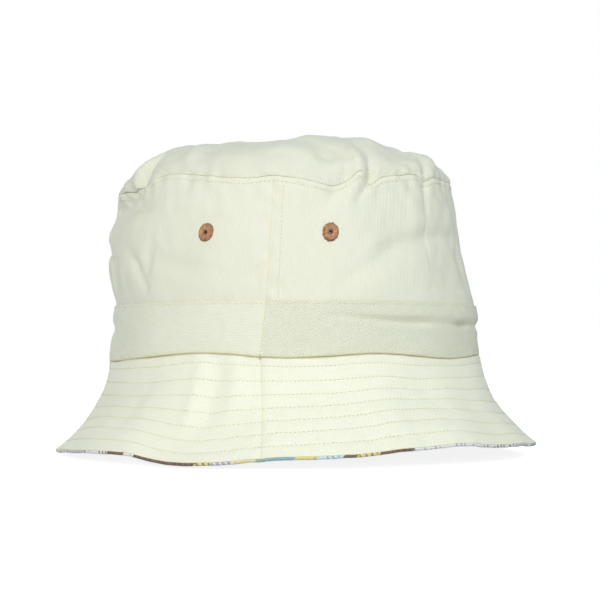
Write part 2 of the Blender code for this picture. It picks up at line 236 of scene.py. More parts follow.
BRIM_FOLDS = (
    (1.2, 4, (-109.5, 5, 8), (-110, 20, 10), (-110, 36, 6)),
    (-1.1, 4.2, (-104, 3, 8), (-104, 18, 10), (-105, 34, 5)),
    (1, 4, (-98.5, 4, 8), (-98.5, 18, 10), (-99, 34, 5)),
    (-0.7, 4.5, (-93, 3, 9), (-93, 16, 9), (-93, 30, 4)),
    (-0.7, 6, (-128, 6, 5), (-130, 26, 10), (-131, 44, 6)),
    (0.8, 9, (-60, 20, 6), (-58, 44, 10)),
    (-0.8, 8, (-44, 14, 6), (-42, 40, 10)),
    (-0.7, 6, (-74, 4, 8), (-73, 22, 6)),
    (0.9, 10, (-22, 18, 5), (-20, 46, 10)),
    (-1, 9, (12, 16, 5), (14, 46, 10)),
    (0.9, 9, (70, 18, 5), (72, 46, 10)),
    (-0.9, 8, (96, 10, 6), (97, 40, 10)),
    (0.9, 9, (118, 18, 5), (116, 46, 10)),
    (-0.9, 9, (168, 12, 6), (170, 44, 10)),
    (0.8, 9, (-160, 18, 6), (-161, 46, 10)),
)

# Where the seam between crown and brim stands out, on the crown's levels.
SWELLS = (
    (2.2, 11, (-195, 51, 5), (-176, 51, 10), (-160, 51, 6)),
    (1, 12, (-14, 46, 5), (0, 46, 10), (16, 46, 5)),
)

# How far the seams stray from their even lines: an angle in degrees and millimetres.
TIP_SEAM_STRAYS = (
    (-180, 0), (-160, -4), (-144, -3.8), (-137, -1.6), (-128, 2.4), (-118, 1.8), (-108, -0.6), (-98, -2.4),
    (-88, -1.6), (-78, -4.2), (-70, -6.6), (-64, -3), (-60, 0.4), (-56, -4.6), (-52, -2), (-46, -0.8),
    (-36, 0.3), (-31, -2.2), (-26, -0.4), (-16, 0.4), (10, -0.8), (26, -2.6), (44, 0.6), (70, -0.8),
    (92, 0.9), (112, -2.8), (132, 0.4), (156, -1.2),
)

BRIM_SEAM_STRAYS = (
    (-172, -1.3), (-157, -2.3), (-142, -1.2), (-128, 0.2), (-113, 1.9), (-104, 1.8), (-91, 0.1),
    (-83, -0.3), (-72, 0.6), (-59, 1.8), (-47, 0.9), (-37, -0.3), (-27, -0.7), (-6, 1.2), (20, 0.3),
    (45, -0.8), (75, 0.8), (100, -0.6), (130, 0.9), (160, 0),
)

# How the brim waves: an angle, then how far its upper part, its lower part and its rim are lifted.
BRIM_LIFTS = (
    (-165, 0.5, -0.5, -2.3), (-140, -3.5, 7.5, -0.5), (-125, -5, 7, 0.2), (-110, -2, -0.5, 0),
    (-100, -3.5, 3.5, -0.3), (-91, -1, 4.5, -0.6), (-70, -2.5, 9, 0), (-55, -3, 13.5, 1.6),
    (-46, -4, 15.5, 1.8), (-34, 0.5, 11, 0.4), (-20, 0, 6, -1.2), (0, -1.5, 1, -3), (30, 0, 4, -1),
    (60, -2, 7, 1), (92, 1, 2, 0), (122, -3, 7, 0.8), (150, -1, 1, 0), (175, -1.5, 0, -1.6),
)

# The crown leans back by this much, a little towards its right.
LEAN = 0.0054
LEAN_TURN = math.radians(8.5)


# ---- Outlines: half length and height of the outer face, by angle and by share of the way down


def turned_back(angle):
    """An angle difference brought to within half a turn."""
    return (angle + math.pi) % TURN - math.pi


def closed_curve(stations):
    """A smooth curve round the hat through values in millimetres at angles in degrees."""
    angles = np.radians([angle for angle, _ in stations])
    values = np.array([value for _, value in stations]) * MM
    knots = np.append(angles - angles[0], TURN)
    gaps = np.diff(knots)
    slopes = (np.roll(values, -1) - np.roll(values, 1)) / (gaps + np.roll(gaps, 1))

    def at(phi):
        turned = (phi - angles[0]) % TURN
        k = np.clip(np.searchsorted(knots, turned, "right") - 1, 0, len(gaps) - 1)
        after = (k + 1) % len(gaps)
        t = (turned - knots[k]) / gaps[k]
        rise = values[after] - values[k]
        start, end = slopes[k] * gaps[k], slopes[after] * gaps[k]
        return values[k] + t * start + t**2 * (3 * rise - 2 * start - end) + t**3 * (start + end - 2 * rise)

    return at


tip_seam_stray = closed_curve(TIP_SEAM_STRAYS)
brim_seam_stray = closed_curve(BRIM_SEAM_STRAYS)
brim_upper_lift, brim_lower_lift, rim_lift = (
    closed_curve([(lift[0], lift[part]) for lift in BRIM_LIFTS]) for part in (1, 2, 3)
)


def tip_seam_height(phi):
    return TIP_SEAM_HEIGHT + 0.0025 * np.cos(phi) + 0.0018 * np.sin(phi) + tip_seam_stray(phi)


def brim_seam_height(phi):
    return SEAM_HEIGHT + brim_seam_stray(phi)


def joint_turn(height):
    """How far the side seams lie turned round the hat at a height, in radians."""
    return np.radians(np.interp(height, *zip(*JOINT_TURNS)))


def half_length_at(height):
    """Half length of the crown's side at a height."""
    rise = (height - SEAM_HEIGHT) / (TIP_SEAM_HEIGHT - SEAM_HEIGHT)
    shoulder = SEAM_HALF_LENGTH - TIP_SEAM_HALF_LENGTH - SIDE_TAPER
    return SEAM_HALF_LENGTH - SIDE_TAPER * rise - shoulder * rise**4


def side_outline(phi, share):
    top = tip_seam_height(phi)
    height = top + (brim_seam_height(phi) + 2 * TUCK - top) * share
    return half_length_at(height), height


def strip_outline(top):
    """The crown's side from a level height down to the brim's seam, as the hat band lies on it."""

    def outline(phi, share):
        height = top + (brim_seam_height(phi) - top) * share
        return half_length_at(height), height

    return outline


def tip_outline(phi, share):
    seam_height = tip_seam_height(phi)
    puff = (1 - share**3) ** (1 / 1.8)
    return half_length_at(seam_height) * share, seam_height + (CROWN_TOP - seam_height) * puff


def edge_rise(phi):
    rise = BRIM_EDGE_MEAN_RISE + 0.0022 * np.cos(phi) + 0.0005 * np.cos(2 * phi)
    for angle, width in DIPS:
        rise = rise * (1 - bell(turned_back(phi - math.radians(angle)), math.radians(width)))
    return rise


def brim_outline(phi, share):
    """A cubic curve from the crown's seam out to the rim."""
    rise = edge_rise(phi) + RIM_DROP
    (upper, upper_height), (lower, lower_height) = BRIM_UPPER_GUIDE, BRIM_LOWER_GUIDE
    points = (
        (SEAM_HALF_LENGTH + 0.0003, brim_seam_height(phi) + TUCK),
        (upper, upper_height + brim_seam_stray(phi) + brim_upper_lift(phi)),
        (lower, lower_height + 0.4 * (rise - BRIM_EDGE_MEAN_RISE) + brim_lower_lift(phi)),
        (BRIM_EDGE_HALF_LENGTH, rise + rim_lift(phi)),
    )
    blends = [math.comb(3, k) * share**k * (1 - share) ** (3 - k) for k in range(4)]
    return tuple(sum(b * p[axis] for b, p in zip(blends, points)) for axis in range(2))


def bell(away, width):
    """Falls from 1 to nothing over about twice this width."""
    return np.exp(-((away / width) ** 2))


def norm(vectors):
    return np.linalg.norm(vectors, axis=-1)


def walked(points):
    """Distances walked along the first axis of some points."""
    legs = norm(np.diff(points, axis=0))
    return np.concatenate([np.zeros_like(legs[:1]), np.cumsum(legs, axis=0)])


BRIM_SHARES = np.linspace(0, 1, 401)
BRIM_WALK = walked(np.stack(brim_outline(0, BRIM_SHARES), -1))
BRIM_LENGTH = float(BRIM_WALK[-1])

# Where the brim's layers start to thin towards its rim, down its slope.
RIM_TAPER = BRIM_LENGTH - 0.0075


def brim_share(distance):
    """The share that lies this far down the brim's slope."""
    return np.interp(distance, BRIM_WALK, BRIM_SHARES)


def smooth_face(outline, phi, share):
    """The smooth outer face and the normals that every layer is offset along.

    The side and the top share one normal at the seam between them, so their layers meet there.
    """
    phi, share = np.broadcast_arrays(phi, share)
    before = outline(phi, np.maximum(share - 0.001, 0))
    after = outline(phi, np.minimum(share + 0.001, 1))
    run, drop = after[0] - before[0], after[1] - before[1]
    size = np.hypot(run, drop)
    out, up = -drop / size, run / size
    half_length, height = outline(phi, share)
    seam = tip_seam_height(phi)
    alike = bell(np.hypot(height - seam, half_length - half_length_at(seam)), 0.004)
    out, up = out + (TIP_SEAM_OUT - out) * alike, up + (TIP_SEAM_UP - up) * alike
    base = [half_length * np.cos(phi), half_length * WIDTH_RATIO * np.sin(phi), height + 0 * phi]
    return np.stack(base, -1), np.stack([out * np.cos(phi), out * np.sin(phi), up], -1)


# ---- Pushes: what moves the cloth in and out, by points of the smooth face and by share of the way down
# Every layer's push is called alike, though only the brim's looks at the share.


def angle_of(points):
    """The angle round the hat's oval."""
    return np.arctan2(points[..., 1] / WIDTH_RATIO, points[..., 0])


def ease(value, start, end):
    t = np.clip((value - start) / (end - start), 0, 1)
    return t * t * (3 - 2 * t)


def soft_noise(points, period, seed):
    """Smooth noise of about unit size, as a sum of plane waves."""
    random = np.random.default_rng(seed)
    waves = 14
    directions = random.normal(size=(waves, 3))
    rates = TURN / (period * random.uniform(0.75, 1.5, waves)) / norm(directions)
    starts = random.uniform(0, TURN, waves)
    return np.sin(points @ (directions * rates[:, None]).T + starts).sum(-1) / math.sqrt(waves / 2)


def folded(points, folds):
    """Soft ridges and valleys whose strength changes from station to station."""
    push = np.zeros(points.shape[:-1])
    for height, width, stations in folds:
        best = 0
        for (a, strong_a), (b, strong_b) in zip(stations, stations[1:]):
            along = b - a
            t = np.clip(((points - a) @ along) / (along @ along), 0, 1)
            away = norm(points - (a + t[..., None] * along))
            best = np.maximum(best, bell(away, width) * (strong_a + (strong_b - strong_a) * t))
        push += height * best
    return push


def placed(folds, place):
    """Folds with their stations as points in space."""
    found = []
    for height, width, *stations in folds:
        points = [(place(math.radians(angle), level), tenths / 10) for angle, level, tenths in stations]
        found.append((height * MM, width * MM, points))
    return found


def side_place(phi, height):
    half_length = half_length_at(height * MM)
    x, y = half_length * math.cos(phi), half_length * WIDTH_RATIO * math.sin(phi)
    return np.array([x, y, height * MM])


def tip_place(phi, percent):
    return smooth_face(tip_outline, phi, percent / 100)[0]


def brim_place(phi, distance):
    return smooth_face(brim_outline, phi, brim_share(distance * MM))[0]


CROWN_FOLDS = placed(SIDE_FOLDS, side_place) + placed(TIP_FOLDS, tip_place)
SEAM_SWELLS = placed(SWELLS, side_place)
LOWER_CROWN_FOLDS = placed(BAND_FOLDS, side_place) + SEAM_SWELLS
WORN_BRIM_FOLDS = placed(BRIM_FOLDS, brim_place) + SEAM_SWELLS


def crown_push(points):
    """Folds, a slight lean to the back and soft unevenness, faded out under the hat band."""
    height = points[..., 2]
    push = folded(points, CROWN_FOLDS)
    for high, reach, angle, percent in TIP_BULGES:
        centre = tip_place(math.radians(angle), percent)
        push += high * MM * bell(norm(points - centre), reach * MM)
    half_length = np.hypot(points[..., 0], points[..., 1] / WIDTH_RATIO)
    lean = ease(height, 0.07, 0.112) * (1 - 0.45 * ease(height, 0.125, 0.16))
    push -= LEAN * lean * ease(half_length, 0.05, 0.086) * np.cos(angle_of(points) - LEAN_TURN)
    push += 0.00045 * soft_noise(points, 0.06, 11) + 0.00022 * soft_noise(points, 0.024, 12)
    push += 0.00009 * soft_noise(points, 0.011, 13)
    loose = ease(height, 0.074, 0.088)
    push = push * loose + folded(points, LOWER_CROWN_FOLDS)
    push += (1 - loose) * 0.00016 * soft_noise(points, 0.03, 14)
    return push + 0.00005 * soft_noise(points, 0.007, 15)


def seam_pull(away, depth, width=0.0013):
    """How far a seam pulls the cloth in, by distance from it."""
    return -depth * bell(away, width)


def pucker(points, away, height, reach, seed, period=0.0065):
    """Short ripples that stand along a seam and die away from it."""
    return height * np.exp(-np.abs(away) / reach) * soft_noise(points, period, seed)


def near_side_seams(points):
    """Signed distance to the nearer side seam, growing with the angle round the hat."""
    phi = angle_of(points) - joint_turn(points[..., 2])
    right, left = turned_back(phi - RIGHT_SEAM), turned_back(phi - LEFT_SEAM)
    return np.where(np.abs(right) < np.abs(left), right, left) * SEAM_HALF_LENGTH


def allowance_lift(away):
    """Two more layers of cloth lie under the side that the seam allowance is pressed to."""
    return 0.00016 * ease(away, 0.0004, 0.0016) * (1 - ease(away, 0.0056, 0.0072))


def at_tip_seam(points, away):
    """What the seam round the top does to the cloth on both its sides."""
    return seam_pull(away, 0.00022, 0.001) + pucker(points, away, 0.0004, 0.008, 22)


def side_push(points, share):
    """The crown's side: its folds, its seams, and the allowance under its seam."""
    beside = near_side_seams(points)
    below_tip = tip_seam_height(angle_of(points)) - points[..., 2]
    push = crown_push(points) + at_tip_seam(points, below_tip)
    at_side = seam_pull(beside, 0.0003) + pucker(points, beside, 0.00018, 0.006, 21)
    push += (at_side + allowance_lift(beside)) * ease(below_tip, 0, 0.003)
    push += 0.00025 * bell(below_tip - 0.0014, 0.0008)
    return push + seam_pull(below_tip - TIP_STITCH_DROP, 0.0002, 0.0008)


def tip_push(points, share):
    """The top: its folds, its seam, and a rumple that grows away from the seam."""
    phi = angle_of(points)
    away = norm(points - smooth_face(tip_outline, phi, 1)[0])
    rumple = ease(points[..., 2] - tip_seam_height(phi), 0.004, 0.02)
    push = crown_push(points) + at_tip_seam(points, away)
    return push + rumple * (0.0007 * soft_noise(points, 0.048, 24) + 0.0003 * soft_noise(points, 0.02, 25))


def band_push(points, share):
    """The hat band: the crown's own push, plus its stitched edges."""
    push = crown_push(points)
    for line in (BAND_TOP - BAND_STITCH_INSET, brim_seam_height(angle_of(points)) + BAND_STITCH_INSET):
        away = points[..., 2] - line
        push += seam_pull(away, 0.00018, 0.0008) + pucker(points, away, 0.0001, 0.004, 26, 0.0048)
    return push


def brim_push(points, share):
    """The brim: soft waves, a valley under each row of stitches, and ripples between the rows."""
    distance = np.interp(share, BRIM_SHARES, BRIM_WALK)
    push = folded(points, WORN_BRIM_FOLDS)
    push += 0.0006 * ease(distance, 0.0002, 0.0018) * np.exp(-distance / 0.005)
    free = ease(distance, 0, 0.012)
    push += free * (0.00055 * soft_noise(points, 0.07, 31) + 0.0002 * soft_noise(points, 0.028, 32))
    for row in range(ROW_COUNT):
        away = distance - FIRST_ROW - row * ROW_SPACING
        push += seam_pull(away, 0.0003, 0.00085) + pucker(points, away, 0.00011, 0.0022, 40 + row, 0.005)
    beside = near_side_seams(points)
    push += seam_pull(beside, 0.0004, 0.0012) + 0.7 * allowance_lift(beside)
    push += pucker(points, beside, 0.00015, 0.005, 51)
    return push + np.exp(-((BRIM_LENGTH - distance) / 0.01)) * 0.00012 * soft_noise(points, 0.009, 52)


def surface(outline, push, phi, share, offset=0.0):
    """A layer as worn, at an offset from the crown's outer face, then its normals and the smooth face."""
    base, normal = smooth_face(outline, phi, share)
    moved = push(base, np.broadcast_to(share, base.shape[:-1]))
    return base + normal * (moved + offset)[..., None], normal, base


# ---- Meshes


def edge_rows(thickness):
    """Distances in from a folded edge that draw its rounding."""
    return thickness * np.array([0, 0.08, 0.3, 0.62])


def steps_between(start, end, step, thickness=END_ROUNDING):
    """Distances from start to end, closer together at the rounded edges."""
    count = max(2, round((end - start - 2 * thickness) / step))
    middle = np.linspace(start + thickness, end - thickness, count + 1)
    return np.concatenate([start + edge_rows(thickness), middle, (end - edge_rows(thickness))[::-1]])


def thinned(values):
    """Every second value, keeping both ends."""
    return np.append(values[:-1:2], values[-1])


def half_phis(start, step=COLUMN_STEP, radius=MEAN_RADIUS):
    """Columns of a half panel that begins at an angle, with its ends rounded off."""
    return start + steps_between(0, math.pi * radius, step) / radius


def rounding(away, half_thickness):
    """Half the cloth's thickness at a distance in from its round edge."""
    t = np.clip(1 - away / (2 * half_thickness), 0, 1)
    return half_thickness * np.sqrt(np.maximum(1 - t * t, 0))


def linked(name, data):
    obj = bpy.data.objects.new(name, data)
    SCENE.collection.objects.link(obj)
    return obj


def new_mesh(name, points, faces, uvs, material):
    """A smooth-shaded object, with the cloth's own flat coordinates in metres."""
    mesh = bpy.data.meshes.new(name)
    mesh.from_pydata(points.tolist(), [], [list(face) for face in faces])
    corners = np.empty(len(mesh.loops), np.int32)
    mesh.loops.foreach_get("vertex_index", corners)
    layer = mesh.uv_layers.new(name="cloth")
    layer.data.foreach_set("uv", uvs[corners].astype(np.float32).ravel())
    mesh.shade_smooth()
    mesh.materials.append(material)
    mesh.validate()
    return linked(name, mesh)


def closed_sheet(name, middle, normal, half, uvs, material, edge=None, wraps=False, cells=True):
    """A sheet of cloth with two faces, which meet wherever half the thickness falls to nothing.

    Cells says where the grid has cloth. Edge is the distance in from the nearest edge, for the edge tints that
    are partly painted shade.
    """
    count = half.size
    thick = normal * half[..., None]
    points = np.concatenate([(middle + thick).reshape(-1, 3), (middle - thick).reshape(-1, 3)])
    index = np.arange(count).reshape(half.shape)
    faces = []
    for grid, turn in ((index, 1), (np.where(half > 1e-7, index + count, index), -1)):
        after = np.roll(grid, -1, axis=1)
        quads = np.stack([grid[:-1], grid[1:], after[1:], after[:-1]], -1)
        quads = quads if wraps else quads[:, :-1]
        faces.append(quads[np.broadcast_to(cells, quads.shape[:2])][:, ::turn])
    faces = np.concatenate(faces)
    used = np.unique(faces)
    renumber = np.full(2 * count, -1)
    renumber[used] = np.arange(len(used))
    flat = np.tile(uvs.reshape(-1, 2), (2, 1))
    obj = new_mesh(name, points[used], renumber[faces], flat[used], material)
    if edge is not None:
        reach = obj.data.attributes.new("edge", "FLOAT", "POINT")
        reach.data.foreach_set("value", (np.tile(edge.ravel(), 2)[used] / MM).astype(np.float32))
    return obj


def flat_size(points):
    """Width, length and area of a smooth panel laid flat, from a grid of its points."""
    across, down = np.diff(points, axis=1), np.diff(points, axis=0)
    width = float(norm(across).sum(1).max())
    length = float(norm(down).sum(0).max())
    area = float(norm(np.cross(across[:-1], down[:, :-1])).sum())
    return width, length, min(area, width * length)


def seam_grid(outline, phis, shares):
    """A grid of angles and shares whose ends follow the wandering side seams."""
    phi_grid, share_grid = np.meshgrid(phis, shares)
    return phi_grid + joint_turn(outline(phi_grid, share_grid)[1]), share_grid


def along_and_ends(phis):
    """Distances along a panel from its middle, and in from the nearer of its two ends."""
    along = (phis - phis.mean())[None, :] * MEAN_RADIUS
    return along, np.minimum(along - along[0, 0], along[0, -1] - along)


def panel(name, outline, push, phis, shares, layer, material, holes=(), pressed=0.95):
    """One cloth panel of the hat, with rounded edges and with eyelet holes at some angles.

    At its two ends, where it is sewn to its neighbour, its edges lie level with its outer face. Pressed says
    how far its top and bottom edges do so too: 0 at a folded edge.
    """
    offset, half_thickness = layer
    middle, normal, smooth = surface(outline, push, *seam_grid(outline, phis, shares), offset)
    down = walked(smooth).mean(1)[:, None]
    along, ends = along_and_ends(phis)
    feet = np.minimum(down, down[-1] - down)
    edge = np.minimum(feet, ends)
    half = rounding(edge, half_thickness)
    level = np.where(ends < feet, 0.95, pressed) * (half_thickness - half)
    middle = middle + normal * level[..., None]
    uvs = np.stack(np.broadcast_arrays(along, -down), -1)
    cells = np.ones((len(shares) - 1, len(phis) - 1), bool)
    for phi in holes:
        cells &= ~cut_hole(middle, half, smooth, phi)
    obj = closed_sheet(name, middle, normal, half, uvs, material, edge, cells=cells)
    obj["flat"] = flat_size(smooth)
    return obj


def any_corner(grid):
    """Which cells of a grid of points, or points of a grid of cells, have a true neighbour."""
    return grid[:-1, :-1] | grid[1:, :-1] | grid[:-1, 1:] | grid[1:, 1:]


def cut_hole(middle, half, smooth, phi):
    """Finds the cells to open for an eyelet, and draws their edge into a circle."""
    along = np.array([-math.sin(phi), math.cos(phi) * WIDTH_RATIO, 0])
    along /= norm(along)
    across = smooth - side_place(phi, EYELET_HEIGHT / MM)
    u, v = across @ along, across[..., 2]
    away = np.hypot(u, v)
    near = np.abs(across @ np.array([math.cos(phi), math.sin(phi), 0])) < 0.01
    inside = (away < EYELET_CUT) & near
    cells = any_corner(inside)
    rim = any_corner(np.pad(cells, 1)) & ~inside
    pull = (EYELET_CUT / np.maximum(away, 1e-9) - 1)[rim][:, None]
    middle[rim] += pull * (u[rim][:, None] * along + v[rim][:, None] * np.array([0, 0, 1]))
    half[rim] = 0
    return cells


# ---- Materials


class Shader:
    """A node material, or the world, under construction. Each call adds nodes and returns an output."""

    def __init__(self, owner):
        owner.use_nodes = True
        self.owner = owner
        self.tree = owner.node_tree

    def add(self, kind, inputs=(), output=0, **settings):
        node = self.tree.nodes.new("ShaderNode" + kind)
        for key, value in settings.items():
            setattr(node, key, value)
        self.set(node, dict(inputs))
        return node.outputs[output]

    def set(self, node, inputs):
        """Links or sets each input of a node."""
        for key, value in inputs.items():
            socket = node.inputs[key]
            if isinstance(value, bpy.types.NodeSocket):
                self.tree.links.new(value, socket)
            else:
                socket.default_value = (*value, 1) if socket.type == "RGBA" else value

    def cloth(self, degrees=0, scale=(1, 1, 1)):
        """The cloth's flat coordinates in metres, scaled and then turned by an angle."""
        flat, turn = self.add("UVMap", uv_map="cloth"), (0, 0, math.radians(degrees))
        return self.add("Mapping", {"Vector": flat, "Rotation": turn, "Scale": scale})

    def flat(self, axis):
        """One of the cloth's flat coordinates, X along the panel or Y up it."""
        return self.add("SeparateXYZ", {0: self.cloth()}, axis)

    def noise(self, scale, detail=2, roughness=0.5, at=None):
        inputs = {"Vector": at or self.cloth(), "Scale": scale, "Detail": detail, "Roughness": roughness}
        return self.add("TexNoise", inputs, "Fac")

    def place_noise(self, scale, detail=2):
        """Noise by the place on the hat, for what differs from stitch to stitch."""
        return self.noise(scale, detail, at=self.add("TexCoord", output="Object"))

    def ribs(self, degrees, pitch, distortion, direction="X"):
        """Fine parallel lines with this pitch in metres, as a smooth wave from 0 to 1."""
        inputs = {"Vector": self.cloth(degrees), "Scale": math.pi / (10 * pitch), "Distortion": distortion,
                  "Detail": 1, "Detail Scale": 0.6}
        return self.add("TexWave", inputs, "Fac", bands_direction=direction)

    def maths(self, operation, a, b=0, c=0, clamp=False):
        return self.add("Math", {0: a, 1: b, 2: c}, operation=operation, use_clamp=clamp)

    def times(self, a, b, plus=0, clamp=False):
        return self.maths("MULTIPLY_ADD", a, b, plus, clamp)

    def ramp(self, factor, stops, interpolation="LINEAR"):
        output = self.add("ValToRGB", {"Fac": factor})
        ramp = output.node.color_ramp
        ramp.interpolation = interpolation
        while len(ramp.elements) < len(stops):
            ramp.elements.new(1)
        for element, (position, colour) in zip(ramp.elements, stops):
            element.position = position
            element.color = (*colour, 1)
        return output

    def mix(self, factor, a, b, blend="MIX"):
        return self.add("Mix", {0: factor, 6: a, 7: b}, 2, data_type="RGBA", blend_type=blend)

    def near_edge(self, reach):
        """An uneven amount that falls from the cloth's edge to nothing at this distance in millimetres."""
        edge = self.add("Attribute", output="Fac", attribute_name="edge")
        near = self.maths("SUBTRACT", 1, self.maths("DIVIDE", edge, reach), clamp=True)
        return self.times(near, self.times(self.noise(160), 0.9, 0.4), clamp=True)

    def finish(self, colour, height, depth, roughness, sheen=0.25, specular=0.25):
        """Joins colour and bump to the shader. Depth is in metres for a height from 0 to 1."""
        bump = self.add("Bump", {"Height": height, "Distance": depth, "Strength": 1})
        self.set(self.tree.nodes["Principled BSDF"], {
            "Base Color": colour, "Normal": bump, "Roughness": roughness, "Sheen Weight": sheen,
            "Sheen Roughness": 0.5, "Specular IOR Level": specular})
        return self.owner

    def lit_or_seen(self, lit, seen, output):
        """Lights the scene with one shader, and shows the camera another behind the hat."""
        either = self.add("MixShader", {0: self.add("LightPath", output="Is Camera Ray"), 1: lit, 2: seen})
        self.set(self.tree.nodes[output], {"Surface": either})


def new_material(name):
    return Shader(bpy.data.materials.new(name))


CREAM = (0.8, 0.805, 0.69)
CREAM_SHADE = (0.775, 0.78, 0.655)
# Edge colours: partly a yellowish tint of the doubled cloth at seams and folds, partly painted shade in the
# grooves along them.
SEAM_TINT_AND_SHADE = (0.78, 0.7, 0.47)
PALE_TINT_AND_SHADE = (0.76, 0.72, 0.46)
# A painted shadow: the dark olive line where the hat band's lower edge overhangs the brim, drawn between the
# levels on the band's foot and the brim's top that follow.
BAND_GAP_SHADOW = (0.5, 0.45, 0.2)
FOOT_OF_BAND = (-0.0285, -0.0262)
TOP_OF_BRIM = (-0.0016, 0.001)
PLAIN = (1, 1, 1)

# Uneven yarns: how far the cloth's coordinates are squeezed along them.
UPRIGHT = (1, 0.16, 1)
LEVEL = (0.16, 1, 1)

# The plies of a thread: their angle, pitch and distortion.
PLIES = (35, 0.0003, 0.6)


def twill(name, angle, pitch=0.0009, depth=0.00015, contrast=0.06, tone=1.0, edge_tint_and_shade=None, line=None,
          slubs=UPRIGHT):
    """Cotton twill: ribs at an angle to the grain, crossed by finer yarns, some of them uneven.

    Its edges take a yellowish tint, partly the doubled cloth's own colour and partly painted shade in the
    seams' grooves. Between the two levels in line, its edges show a darker line of painted shadow.
    """
    shader = new_material(name)
    ribs = shader.ribs(angle, pitch, 0.5)
    yarns = shader.ribs(angle + 62, pitch * 0.6, 0.5)
    fibre = shader.noise(1100, 3, 0.6)
    uneven = shader.noise(900, 2, 0.6, at=shader.cloth(0, slubs))
    weave = shader.times(ribs, 0.45, shader.times(yarns, 0.12))
    height = shader.times(fibre, 0.3, shader.times(uneven, 0.4, weave))
    light, shade = ([part * tone for part in colour] for colour in (CREAM, CREAM_SHADE))
    colour = shader.ramp(shader.noise(30, 4, 0.6), ((0.3, shade), (0.7, light)))
    # Painted shade: the weave is coloured darker and yellower in its grooves, by the bump's height, as much as
    # contrast says.
    groove_shade = (1 - contrast, 1 - contrast, 1 - 1.6 * contrast)
    colour = shader.mix(1, colour, shader.ramp(height, ((0.34, groove_shade), (0.76, PLAIN))), "MULTIPLY")
    # The edges are tinted darker and yellower: partly the doubled cloth's own colour, partly painted shade in
    # the seams' grooves.
    if edge_tint_and_shade:
        colour = shader.mix(shader.near_edge(0.38), colour, edge_tint_and_shade)
    # A painted shadow: a dark olive line on the band's foot and the brim's top, where the band's lower edge
    # shades the gap between them.
    if line:
        inside = shader.maths("COMPARE", shader.flat("Y"), (line[0] + line[1]) / 2, (line[1] - line[0]) / 2)
        colour = shader.mix(shader.times(inside, shader.near_edge(1.1)), colour, BAND_GAP_SHADOW)
    return shader.finish(colour, height, depth, shader.times(fibre, 0.1, 0.84))


def thread(name, light, shade):
    """Twisted sewing thread: slanting plies along each stitch."""
    shader = new_material(name)
    plies = shader.ribs(*PLIES)
    height = shader.times(shader.noise(2400), 0.35, plies)
    # The place noise gives the thread's own uneven tone; the plies are then coloured lighter on their crests
    # and darker between them, as painted light and shade.
    tone = shader.ramp(shader.place_noise(70, 3), ((0.38, shade), (0.62, light)))
    colour = shader.mix(0.5, tone, shader.ramp(plies, ((0, shade), (1, light))))
    return shader.finish(colour, height, 0.00008, 0.7, 0.1, 0.35)


def eyelet_thread(name):
    """Glossy tan thread, with painted shade where it dives into the eyelet's hole and at its outer end, and a
    painted highlight along its crest.
    """
    shader = new_material(name)
    reach = shader.maths("DIVIDE", shader.flat("X"), EYELET_THREAD_LENGTH)
    # Painted light along each thread: near black in the hole, brightest on the crest, dark again at the outer
    # end.
    tone = shader.ramp(reach, (
        (0.22, (0.08, 0.028, 0.012)), (0.36, (0.42, 0.18, 0.08)), (0.5, (0.82, 0.45, 0.26)),
        (0.78, (0.58, 0.27, 0.13)), (1, (0.24, 0.09, 0.04))))
    patches = shader.ramp(shader.place_noise(1300), ((0.38, (0.52, 0.47, 0.42)), (0.6, PLAIN)))
    colour = shader.mix(1, tone, patches, "MULTIPLY")
    return shader.finish(colour, shader.ribs(*PLIES), 0.00008, 0.42, 0.1, 0.6)


WHITE, LILAC, YELLOW = (0.86, 0.87, 0.88), (0.46, 0.42, 0.56), (0.8, 0.71, 0.28)
TEAL, BLUE, PALE_BLUE = (0.38, 0.5, 0.36), (0.28, 0.47, 0.6), (0.64, 0.8, 0.9)
BROWN, DARK_BROWN = (0.24, 0.16, 0.125), (0.14, 0.09, 0.07)

# The lining's print: patches of colour by their place across the cloth, each with the colour of its dashes.
PRINT_REPEAT = 0.347
PRINT = (
    (0, TEAL, BLUE), (0.01, BLUE, TEAL), (0.036, YELLOW, TEAL), (0.074, PALE_BLUE, BLUE),
    (0.1, BROWN, WHITE), (0.112, YELLOW, BROWN), (0.141, BROWN, DARK_BROWN), (0.191, WHITE, LILAC),
    (0.3, WHITE, DARK_BROWN), (0.43, LILAC, WHITE), (0.49, WHITE, BROWN), (0.64, WHITE, DARK_BROWN),
    (0.794, BROWN, DARK_BROWN), (0.823, WHITE, LILAC), (0.836, BROWN, DARK_BROWN), (0.919, YELLOW, BROWN),
    (0.941, LILAC, WHITE), (0.968, YELLOW, PALE_BLUE),
)


def printed_cotton(name):
    """Plain-weave cotton with a loose print of brushed patches and short slanting dashes."""
    shader = new_material(name)
    drift = shader.times(shader.noise(70, 3), 0.016, -0.008)
    slope = shader.times(shader.flat("Y"), 1.1, 0.066)
    across = shader.maths("ADD", shader.maths("ADD", shader.flat("X"), drift), slope)
    spot = shader.maths("FRACT", shader.times(across, 1 / PRINT_REPEAT, 0.5))
    patches = shader.ramp(spot, [(position, colour) for position, colour, _ in PRINT], "CONSTANT")
    marks = shader.ramp(spot, [(position, colour) for position, _, colour in PRINT], "CONSTANT")
    dashes = shader.maths("GREATER_THAN", shader.ribs(28, 0.0022, 6), 0.66)
    broken = shader.maths("GREATER_THAN", shader.noise(230), 0.47)
    colour = shader.mix(shader.times(shader.times(dashes, broken), 0.85), patches, marks)
    weft = shader.times(shader.ribs(0, 0.0005, 0.6, "Y"), 0.5)
    weave = shader.times(shader.ribs(0, 0.0005, 0.6), 0.5, weft)
    # Painted shade: the weave is coloured darker between its yarns.
    gaps = shader.ramp(weave, ((0, (0.74, 0.74, 0.74)), (0.7, PLAIN)))
    return shader.finish(shader.mix(1, colour, gaps, "MULTIPLY"), weave, 0.00009, 0.86)


